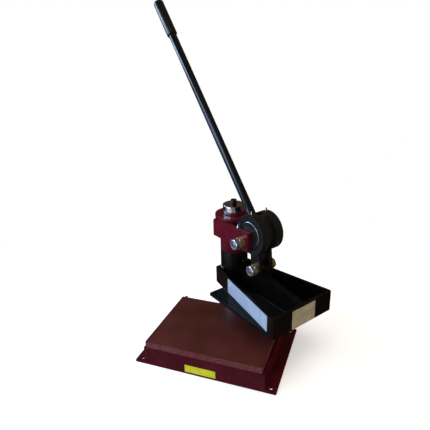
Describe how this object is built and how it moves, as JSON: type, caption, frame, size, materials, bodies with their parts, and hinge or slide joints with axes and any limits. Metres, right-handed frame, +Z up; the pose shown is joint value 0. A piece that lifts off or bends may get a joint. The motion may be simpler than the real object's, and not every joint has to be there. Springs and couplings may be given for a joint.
{
  "type": "clicker press",
  "caption": "Hand lever clicker press: a swinging, sliding beam with a platen on a post behind a cutting pad, pressed down by a lever with an eccentric hub and ring straps.",
  "frame": {"origin": "centre of the four bench bolt holes, on the underside of the base", "axes": "+Z up along the post, +X to the right along the front plate, +Y from the front plate back to the post"},
  "size_m": [0.8687, 0.6851, 1.3503],
  "materials": {
    "maroon_paint": "gloss",
    "black_paint": "gloss",
    "bright_steel": "polished",
    "zinc_plate": "bright zinc",
    "yellow_zinc": "yellow zinc",
    "bronze": "turned",
    "black_oxide": "black oxide",
    "painted_board": "painted",
    "grip_rubber": "matt",
    "white_plate": "satin",
    "beige_plate": "satin",
    "yellow_label": "satin"
  },
  "bodies": {
    "base": {"front_plate": "maroon_paint", "rear_plate": "maroon_paint", "left_side_angle": "maroon_paint", "right_side_angle": "maroon_paint", "deck_plate": "maroon_paint", "deck_ribs": "maroon_paint", "cutting_pad": "painted_board", "pad_screws": "zinc_plate", "front_label": "yellow_label", "heel_plate": "maroon_paint", "post_socket": "maroon_paint", "heel_gussets": "maroon_paint", "socket_set_screws": "black_oxide", "post": "bright_steel", "thrust_washer": "bronze", "post_cap": "bright_steel", "cap_screw": "black_oxide"},
    "head": {"head_tube": "maroon_paint", "head_flange": "maroon_paint", "flange_screws": "black_oxide", "near_ear": "maroon_paint", "far_ear": "maroon_paint", "head_bush_upper": "bronze", "head_bush_lower": "bronze", "shaft_bolt": "yellow_zinc", "shaft_nut": "yellow_zinc", "shaft_lock_nut": "zinc_plate", "shaft_washers": "bronze", "ear_fittings": "zinc_plate"},
    "lever": {"eccentric_hub": "black_paint", "hub_bush": "bronze", "lever_stub": "bright_steel", "lever_tube": "black_paint", "lever_grip": "grip_rubber", "lever_pin": "black_oxide"},
    "straps": {"near_strap": "black_paint", "far_strap": "black_paint", "strap_fittings": "zinc_plate", "pin_bolt": "yellow_zinc", "pin_nut": "yellow_zinc", "pin_lock_nut": "zinc_plate", "pin_washer": "yellow_zinc", "pin_spacers": "bright_steel"},
    "beam": {"platen": "black_paint", "front_wall": "black_paint", "back_wall": "black_paint", "end_wall": "black_paint", "rear_webs": "black_paint", "centre_web": "black_paint", "sleeve": "black_paint", "sleeve_bush_upper": "bronze", "sleeve_bush_lower": "bronze", "sleeve_fitting": "black_oxide", "wall_sign": "white_plate", "end_sign": "beige_plate"}
  },
  "joints": [
    {"name": "head_swing", "type": "hinge", "parent": "base", "child": "head", "pos_m": [0, 0.1908, 0.357], "axis": [0, 0, 1], "range_deg": [-146.9, 33.1]},
    {"name": "lever_turn", "type": "hinge", "parent": "head", "child": "lever", "pos_m": [0.12063, 0.11216, 0.454], "axis": [0.5461, 0.8377, 0], "range_deg": [0, 120]},
    {"name": "strap_turn", "type": "hinge", "parent": "lever", "child": "straps", "pos_m": [0.13473, 0.10297, 0.48093], "axis": [0.5461, 0.8377, 0], "range_deg": [-120.1, 0]},
    {"name": "beam_slide", "type": "slide", "parent": "head", "child": "beam", "axis": [0, 0, -1], "range_m": [0, 0.0558]}
  ],
  "couplings": [
    {"joint": "strap_turn", "follows": "lever_turn", "ratio": -1},
    {"joint": "beam_slide", "follows": "lever_turn", "m_per_rad": 0.0266}
  ]
}
